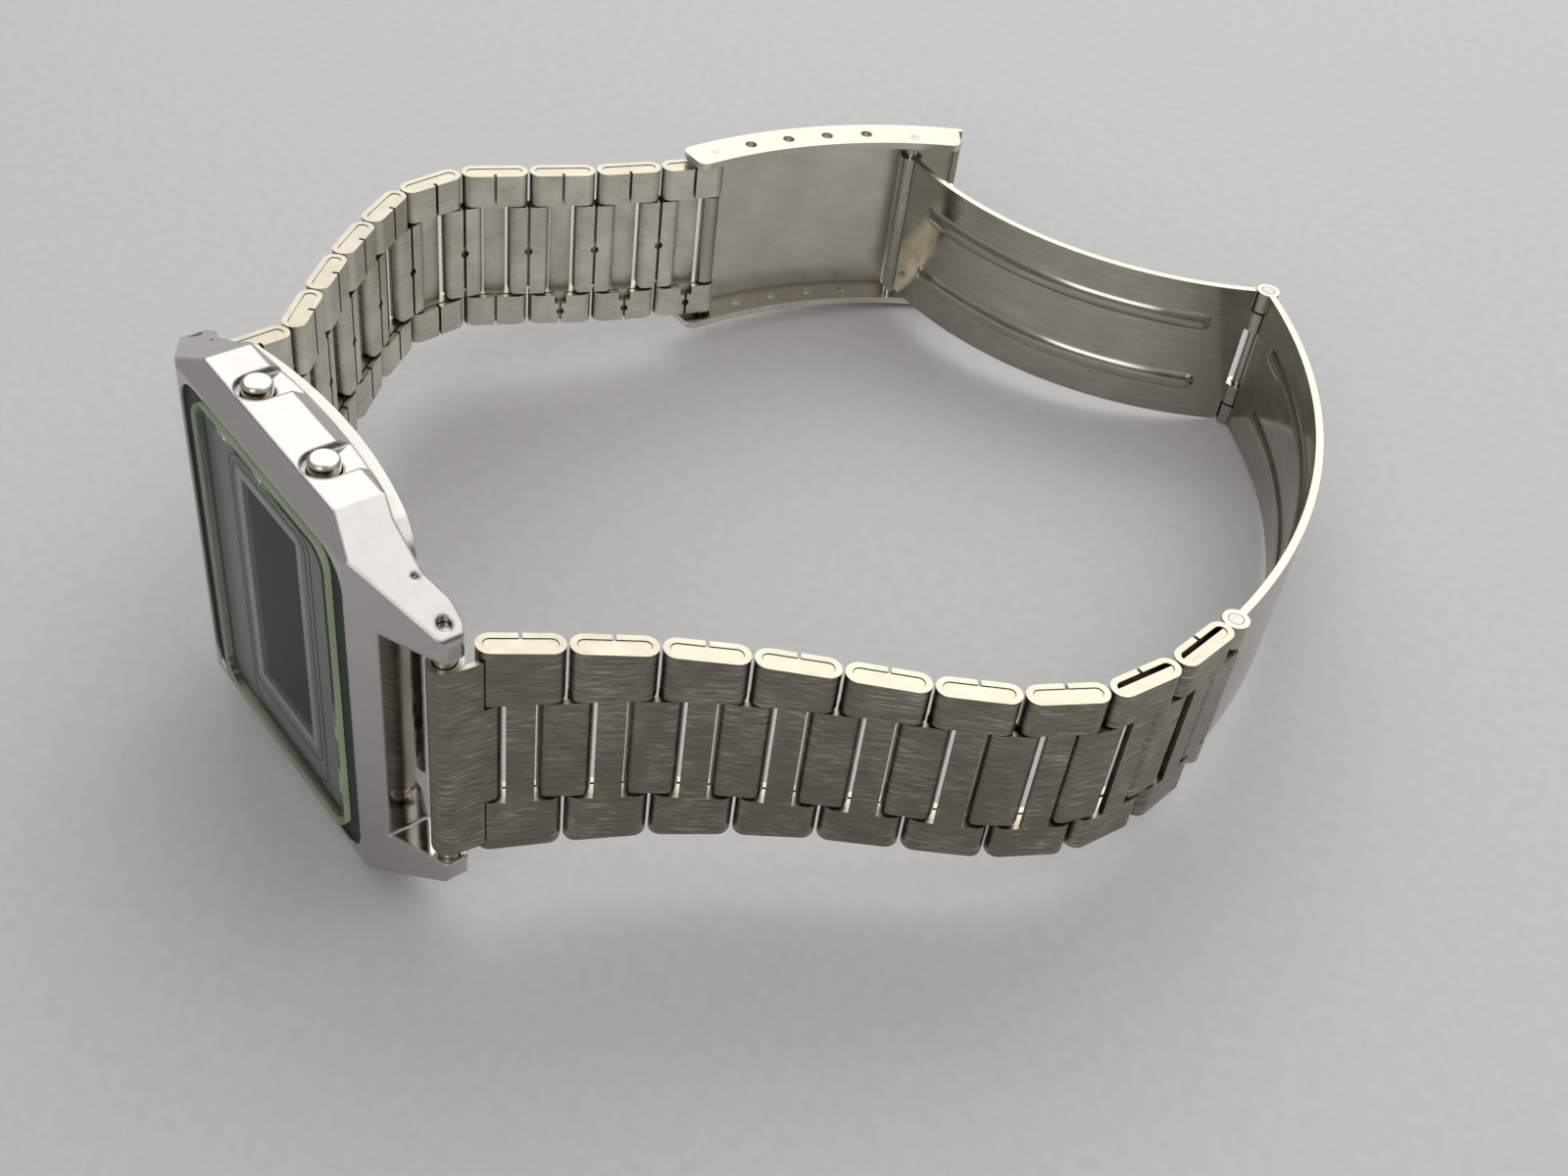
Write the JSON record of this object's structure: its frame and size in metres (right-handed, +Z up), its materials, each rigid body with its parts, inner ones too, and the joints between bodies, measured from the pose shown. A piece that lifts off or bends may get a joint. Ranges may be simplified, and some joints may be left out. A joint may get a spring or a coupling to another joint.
{
  "type": "digital wrist watch",
  "caption": "Digital wrist watch with a faceted steel case, push buttons and a folded link bracelet with an open folding clasp.",
  "frame": {"origin": "on the surface the watch rests on, under the middle of its bounding box", "axes": "+Z up with the watch on its side; +Y from the dial into the bracelet loop; +X across the dial towards the near band end"},
  "size_m": [0.0734, 0.0846, 0.031],
  "materials": {
    "polished_steel": "mirror polished, lightly scratched",
    "back_steel": "brushed",
    "link_steel": "brushed and worn",
    "clasp_steel": "rolled, satin",
    "pin_steel": "drawn wire",
    "battery_steel": "satin",
    "crystal_glass": "clear, faint green edge",
    "display_glass": "dark grey display",
    "dial_print": "printed grey panel",
    "black_rubber": "matt",
    "black_plastic": "moulded",
    "board_green": "solder mask"
  },
  "bodies": {
    "case": {"case_middle": "polished_steel", "crystal": "crystal_glass", "crystal_gasket": "black_rubber", "dial_plate": "dial_print", "lcd_panel": "display_glass", "module_frame": "black_plastic", "circuit_board": "board_green", "battery": "battery_steel", "case_back": "back_steel", "back_gasket": "black_rubber", "lug_spring_bars": "pin_steel"},
    "pusher_six": {"pusher_six": "polished_steel"},
    "pusher_twelve": {"pusher_twelve": "polished_steel"},
    "end_link_near": {"end_link_near": "link_steel"},
    "near_link_1": {"near_link_1": "link_steel"},
    "near_centre_1": {"near_centre_1": "link_steel"},
    "near_link_2": {"near_link_2": "link_steel"},
    "near_centre_2": {"near_centre_2": "link_steel"},
    "near_link_3": {"near_link_3": "link_steel"},
    "near_centre_3": {"near_centre_3": "link_steel"},
    "near_link_4": {"near_link_4": "link_steel"},
    "near_centre_4": {"near_centre_4": "link_steel"},
    "near_link_5": {"near_link_5": "link_steel"},
    "near_centre_5": {"near_centre_5": "link_steel"},
    "near_link_6": {"near_link_6": "link_steel"},
    "near_centre_6": {"near_centre_6": "link_steel"},
    "near_link_7": {"near_link_7": "link_steel"},
    "near_centre_7": {"near_centre_7": "link_steel"},
    "near_link_8": {"near_link_8": "link_steel"},
    "near_centre_8": {"near_centre_8": "link_steel"},
    "near_link_9": {"near_link_9": "link_steel"},
    "end_link_far": {"end_link_far": "link_steel"},
    "far_link_1": {"far_link_1": "link_steel"},
    "far_centre_1": {"far_centre_1": "link_steel"},
    "far_link_2": {"far_link_2": "link_steel"},
    "far_centre_2": {"far_centre_2": "link_steel"},
    "far_link_3": {"far_link_3": "link_steel"},
    "far_centre_3": {"far_centre_3": "link_steel"},
    "far_link_4": {"far_link_4": "link_steel"},
    "far_centre_4": {"far_centre_4": "link_steel"},
    "far_link_5": {"far_link_5": "link_steel"},
    "far_centre_5": {"far_centre_5": "link_steel"},
    "far_link_6": {"far_link_6": "link_steel"},
    "far_centre_6": {"far_centre_6": "link_steel"},
    "far_link_7": {"far_link_7": "link_steel"},
    "far_centre_7": {"far_centre_7": "link_steel"},
    "far_link_8": {"far_link_8": "link_steel"},
    "far_centre_8": {"far_centre_8": "link_steel"},
    "far_link_9": {"far_link_9": "link_steel"},
    "far_centre_9": {"far_centre_9": "link_steel"},
    "far_link_10": {"far_link_10": "link_steel"},
    "band_connector": {"band_connector": "link_steel", "blade_end_pin_middle": "pin_steel"},
    "clasp_cover": {"clasp_cover": "clasp_steel", "clasp_spring_bar": "pin_steel", "cover_hinge_pin": "pin_steel"},
    "clasp_blade_short": {"clasp_blade_short": "clasp_steel", "fold_hinge_pin": "pin_steel"},
    "clasp_blade_long": {"clasp_blade_long": "clasp_steel", "blade_end_pin_outer": "pin_steel"}
  },
  "joints": [
    {"name": "near_band_swing", "type": "hinge", "parent": "case", "child": "end_link_near", "pos_m": [0.01274, -0.03722, 0.01486], "axis": [-0.026, -0.1064, -0.994], "range_deg": [0, 12]},
    {"name": "near_link_1_swing", "type": "hinge", "parent": "end_link_near", "child": "near_link_1", "pos_m": [0.01344, -0.03464, 0.01457], "axis": [-0.026, -0.1064, -0.994], "range_deg": [0, 12]},
    {"name": "near_fold_1", "type": "hinge", "parent": "near_link_1", "child": "near_centre_1", "pos_m": [0.01512, -0.0315, 0.01419], "axis": [-0.026, -0.1064, -0.994], "range_deg": [0, 12]},
    {"name": "near_fold_1_follow", "type": "hinge", "parent": "near_centre_1", "child": "near_link_2", "pos_m": [0.01606, -0.02982, 0.01398], "axis": [-0.026, -0.1064, -0.994], "range_deg": [0, 12]},
    {"name": "near_fold_2", "type": "hinge", "parent": "near_link_2", "child": "near_centre_2", "pos_m": [0.01785, -0.02674, 0.01361], "axis": [-0.026, -0.1064, -0.994], "range_deg": [0, 12]},
    {"name": "near_fold_2_follow", "type": "hinge", "parent": "near_centre_2", "child": "near_link_3", "pos_m": [0.0189, -0.02512, 0.01341], "axis": [-0.026, -0.1064, -0.994], "range_deg": [0, 12]},
    {"name": "near_fold_3", "type": "hinge", "parent": "near_link_3", "child": "near_centre_3", "pos_m": [0.02101, -0.02225, 0.01304], "axis": [-0.026, -0.1064, -0.994], "range_deg": [0, 12]},
    {"name": "near_fold_3_follow", "type": "hinge", "parent": "near_centre_3", "child": "near_link_4", "pos_m": [0.0222, -0.02073, 0.01285], "axis": [-0.026, -0.1064, -0.994], "range_deg": [0, 12]},
    {"name": "near_fold_4", "type": "hinge", "parent": "near_link_4", "child": "near_centre_4", "pos_m": [0.0245, -0.01801, 0.0125], "axis": [-0.026, -0.1064, -0.994], "range_deg": [0, 12]},
    {"name": "near_fold_4_follow", "type": "hinge", "parent": "near_centre_4", "child": "near_link_5", "pos_m": [0.02579, -0.01657, 0.01231], "axis": [-0.026, -0.1064, -0.994], "range_deg": [0, 12]},
    {"name": "near_fold_5", "type": "hinge", "parent": "near_link_5", "child": "near_centre_5", "pos_m": [0.02823, -0.01398, 0.01197], "axis": [-0.026, -0.1064, -0.994], "range_deg": [0, 12]},
    {"name": "near_fold_5_follow", "type": "hinge", "parent": "near_centre_5", "child": "near_link_6", "pos_m": [0.02953, -0.01255, 0.01178], "axis": [-0.026, -0.1064, -0.994], "range_deg": [0, 12]},
    {"name": "near_fold_6", "type": "hinge", "parent": "near_link_6", "child": "near_centre_6", "pos_m": [0.03187, -0.00987, 0.01143], "axis": [-0.026, -0.1064, -0.994], "range_deg": [0, 12]},
    {"name": "near_fold_6_follow", "type": "hinge", "parent": "near_centre_6", "child": "near_link_7", "pos_m": [0.03299, -0.00829, 0.01124], "axis": [-0.026, -0.1064, -0.994], "range_deg": [0, 12]},
    {"name": "near_fold_7", "type": "hinge", "parent": "near_link_7", "child": "near_centre_7", "pos_m": [0.03472, -0.00518, 0.01086], "axis": [-0.026, -0.1064, -0.994], "range_deg": [0, 12]},
    {"name": "near_fold_7_follow", "type": "hinge", "parent": "near_centre_7", "child": "near_link_8", "pos_m": [0.03529, -0.00334, 0.01065], "axis": [-0.026, -0.1064, -0.994], "range_deg": [0, 12]},
    {"name": "near_fold_8", "type": "hinge", "parent": "near_link_8", "child": "near_centre_8", "pos_m": [0.0356, 0.00021, 0.01026], "axis": [-0.026, -0.1064, -0.994], "range_deg": [0, 12]},
    {"name": "near_fold_8_follow", "type": "hinge", "parent": "near_centre_8", "child": "near_link_9", "pos_m": [0.03557, 0.00214, 0.01005], "axis": [-0.026, -0.1064, -0.994], "range_deg": [0, 12]},
    {"name": "far_band_swing", "type": "hinge", "parent": "case", "child": "end_link_far", "pos_m": [-0.01945, -0.03713, 0.0157], "axis": [0.026, 0.1064, 0.994], "range_deg": [0, 12]},
    {"name": "far_link_1_swing", "type": "hinge", "parent": "end_link_far", "child": "far_link_1", "pos_m": [-0.02014, -0.03455, 0.01544], "axis": [0.026, 0.1064, 0.994], "range_deg": [0, 12]},
    {"name": "far_fold_1", "type": "hinge", "parent": "far_link_1", "child": "far_centre_1", "pos_m": [-0.02064, -0.03102, 0.01507], "axis": [0.026, 0.1064, 0.994], "range_deg": [0, 12]},
    {"name": "far_fold_1_follow", "type": "hinge", "parent": "far_centre_1", "child": "far_link_2", "pos_m": [-0.02152, -0.0293, 0.01491], "axis": [0.026, 0.1064, 0.994], "range_deg": [0, 12]},
    {"name": "far_fold_2", "type": "hinge", "parent": "far_link_2", "child": "far_centre_2", "pos_m": [-0.0241, -0.02682, 0.01471], "axis": [0.026, 0.1064, 0.994], "range_deg": [0, 12]},
    {"name": "far_fold_2_follow", "type": "hinge", "parent": "far_centre_2", "child": "far_link_3", "pos_m": [-0.02547, -0.02545, 0.0146], "axis": [0.026, 0.1064, 0.994], "range_deg": [0, 12]},
    {"name": "far_fold_3", "type": "hinge", "parent": "far_link_3", "child": "far_centre_3", "pos_m": [-0.02795, -0.02288, 0.01439], "axis": [0.026, 0.1064, 0.994], "range_deg": [0, 12]},
    {"name": "far_fold_3_follow", "type": "hinge", "parent": "far_centre_3", "child": "far_link_4", "pos_m": [-0.02925, -0.02145, 0.01427], "axis": [0.026, 0.1064, 0.994], "range_deg": [0, 12]},
    {"name": "far_fold_4", "type": "hinge", "parent": "far_link_4", "child": "far_centre_4", "pos_m": [-0.03155, -0.01871, 0.01404], "axis": [0.026, 0.1064, 0.994], "range_deg": [0, 12]},
    {"name": "far_fold_4_follow", "type": "hinge", "parent": "far_centre_4", "child": "far_link_5", "pos_m": [-0.03272, -0.01717, 0.01391], "axis": [0.026, 0.1064, 0.994], "range_deg": [0, 12]},
    {"name": "far_fold_5", "type": "hinge", "parent": "far_link_5", "child": "far_centre_5", "pos_m": [-0.03472, -0.01421, 0.01364], "axis": [0.026, 0.1064, 0.994], "range_deg": [0, 12]},
    {"name": "far_fold_5_follow", "type": "hinge", "parent": "far_centre_5", "child": "far_link_6", "pos_m": [-0.03535, -0.01239, 0.01346], "axis": [0.026, 0.1064, 0.994], "range_deg": [0, 12]},
    {"name": "far_fold_6", "type": "hinge", "parent": "far_link_6", "child": "far_centre_6", "pos_m": [-0.0356, -0.00884, 0.01309], "axis": [0.026, 0.1064, 0.994], "range_deg": [0, 12]},
    {"name": "far_fold_6_follow", "type": "hinge", "parent": "far_centre_6", "child": "far_link_7", "pos_m": [-0.03523, -0.00694, 0.01288], "axis": [0.026, 0.1064, 0.994], "range_deg": [0, 12]},
    {"name": "far_fold_7", "type": "hinge", "parent": "far_link_7", "child": "far_centre_7", "pos_m": [-0.03366, -0.00375, 0.01249], "axis": [0.026, 0.1064, 0.994], "range_deg": [0, 12]},
    {"name": "far_fold_7_follow", "type": "hinge", "parent": "far_centre_7", "child": "far_link_8", "pos_m": [-0.03281, -0.00202, 0.01229], "axis": [0.026, 0.1064, 0.994], "range_deg": [0, 12]},
    {"name": "far_fold_8", "type": "hinge", "parent": "far_link_8", "child": "far_centre_8", "pos_m": [-0.03124, 0.00118, 0.0119], "axis": [0.026, 0.1064, 0.994], "range_deg": [0, 12]},
    {"name": "far_fold_8_follow", "type": "hinge", "parent": "far_centre_8", "child": "far_link_9", "pos_m": [-0.03047, 0.00294, 0.01169], "axis": [0.026, 0.1064, 0.994], "range_deg": [0, 12]},
    {"name": "far_fold_9", "type": "hinge", "parent": "far_link_9", "child": "far_centre_9", "pos_m": [-0.02919, 0.00626, 0.01131], "axis": [0.026, 0.1064, 0.994], "range_deg": [0, 12]},
    {"name": "far_fold_9_follow", "type": "hinge", "parent": "far_centre_9", "child": "far_link_10", "pos_m": [-0.02852, 0.00808, 0.01109], "axis": [0.026, 0.1064, 0.994], "range_deg": [0, 12]},
    {"name": "connector_swing", "type": "hinge", "parent": "near_link_9", "child": "band_connector", "pos_m": [0.03513, 0.00567, 0.00969], "axis": [-0.026, -0.1064, -0.994], "range_deg": [0, 20]},
    {"name": "cover_swing", "type": "hinge", "parent": "far_link_10", "child": "clasp_cover", "pos_m": [-0.02736, 0.01144, 0.0107], "axis": [0.026, 0.1064, 0.994], "range_deg": [0, 6]},
    {"name": "clasp_fold", "type": "hinge", "parent": "clasp_cover", "child": "clasp_blade_short", "pos_m": [-0.02138, 0.02842, 0.00873], "axis": [-0.026, -0.1064, -0.994], "range_deg": [0, 100]},
    {"name": "clasp_unfold_long", "type": "hinge", "parent": "clasp_blade_short", "child": "clasp_blade_long", "pos_m": [0.00918, 0.04069, 0.00662], "axis": [0.026, 0.1064, 0.994], "range_deg": [0, 200]},
    {"name": "pusher_six_press", "type": "slide", "parent": "case", "child": "pusher_six", "axis": [-0.026, -0.1064, -0.994], "range_m": [0, 0.0005], "stiffness_N_per_m": 300, "springref_m": -0.001},
    {"name": "pusher_twelve_press", "type": "slide", "parent": "case", "child": "pusher_twelve", "axis": [-0.026, -0.1064, -0.994], "range_m": [0, 0.0005], "stiffness_N_per_m": 300, "springref_m": -0.001}
  ],
  "couplings": [
    {"joint": "near_link_1_swing", "follows": "near_band_swing", "ratio": 1},
    {"joint": "near_fold_1_follow", "follows": "near_fold_1", "ratio": 1},
    {"joint": "near_fold_2_follow", "follows": "near_fold_2", "ratio": 1},
    {"joint": "near_fold_3_follow", "follows": "near_fold_3", "ratio": 1},
    {"joint": "near_fold_4_follow", "follows": "near_fold_4", "ratio": 1},
    {"joint": "near_fold_5_follow", "follows": "near_fold_5", "ratio": 1},
    {"joint": "near_fold_6_follow", "follows": "near_fold_6", "ratio": 1},
    {"joint": "near_fold_7_follow", "follows": "near_fold_7", "ratio": 1},
    {"joint": "near_fold_8_follow", "follows": "near_fold_8", "ratio": 1},
    {"joint": "far_link_1_swing", "follows": "far_band_swing", "ratio": 1},
    {"joint": "far_fold_1_follow", "follows": "far_fold_1", "ratio": 1},
    {"joint": "far_fold_2_follow", "follows": "far_fold_2", "ratio": 1},
    {"joint": "far_fold_3_follow", "follows": "far_fold_3", "ratio": 1},
    {"joint": "far_fold_4_follow", "follows": "far_fold_4", "ratio": 1},
    {"joint": "far_fold_5_follow", "follows": "far_fold_5", "ratio": 1},
    {"joint": "far_fold_6_follow", "follows": "far_fold_6", "ratio": 1},
    {"joint": "far_fold_7_follow", "follows": "far_fold_7", "ratio": 1},
    {"joint": "far_fold_8_follow", "follows": "far_fold_8", "ratio": 1},
    {"joint": "far_fold_9_follow", "follows": "far_fold_9", "ratio": 1},
    {"joint": "clasp_unfold_long", "follows": "clasp_fold", "ratio": 2}
  ]
}
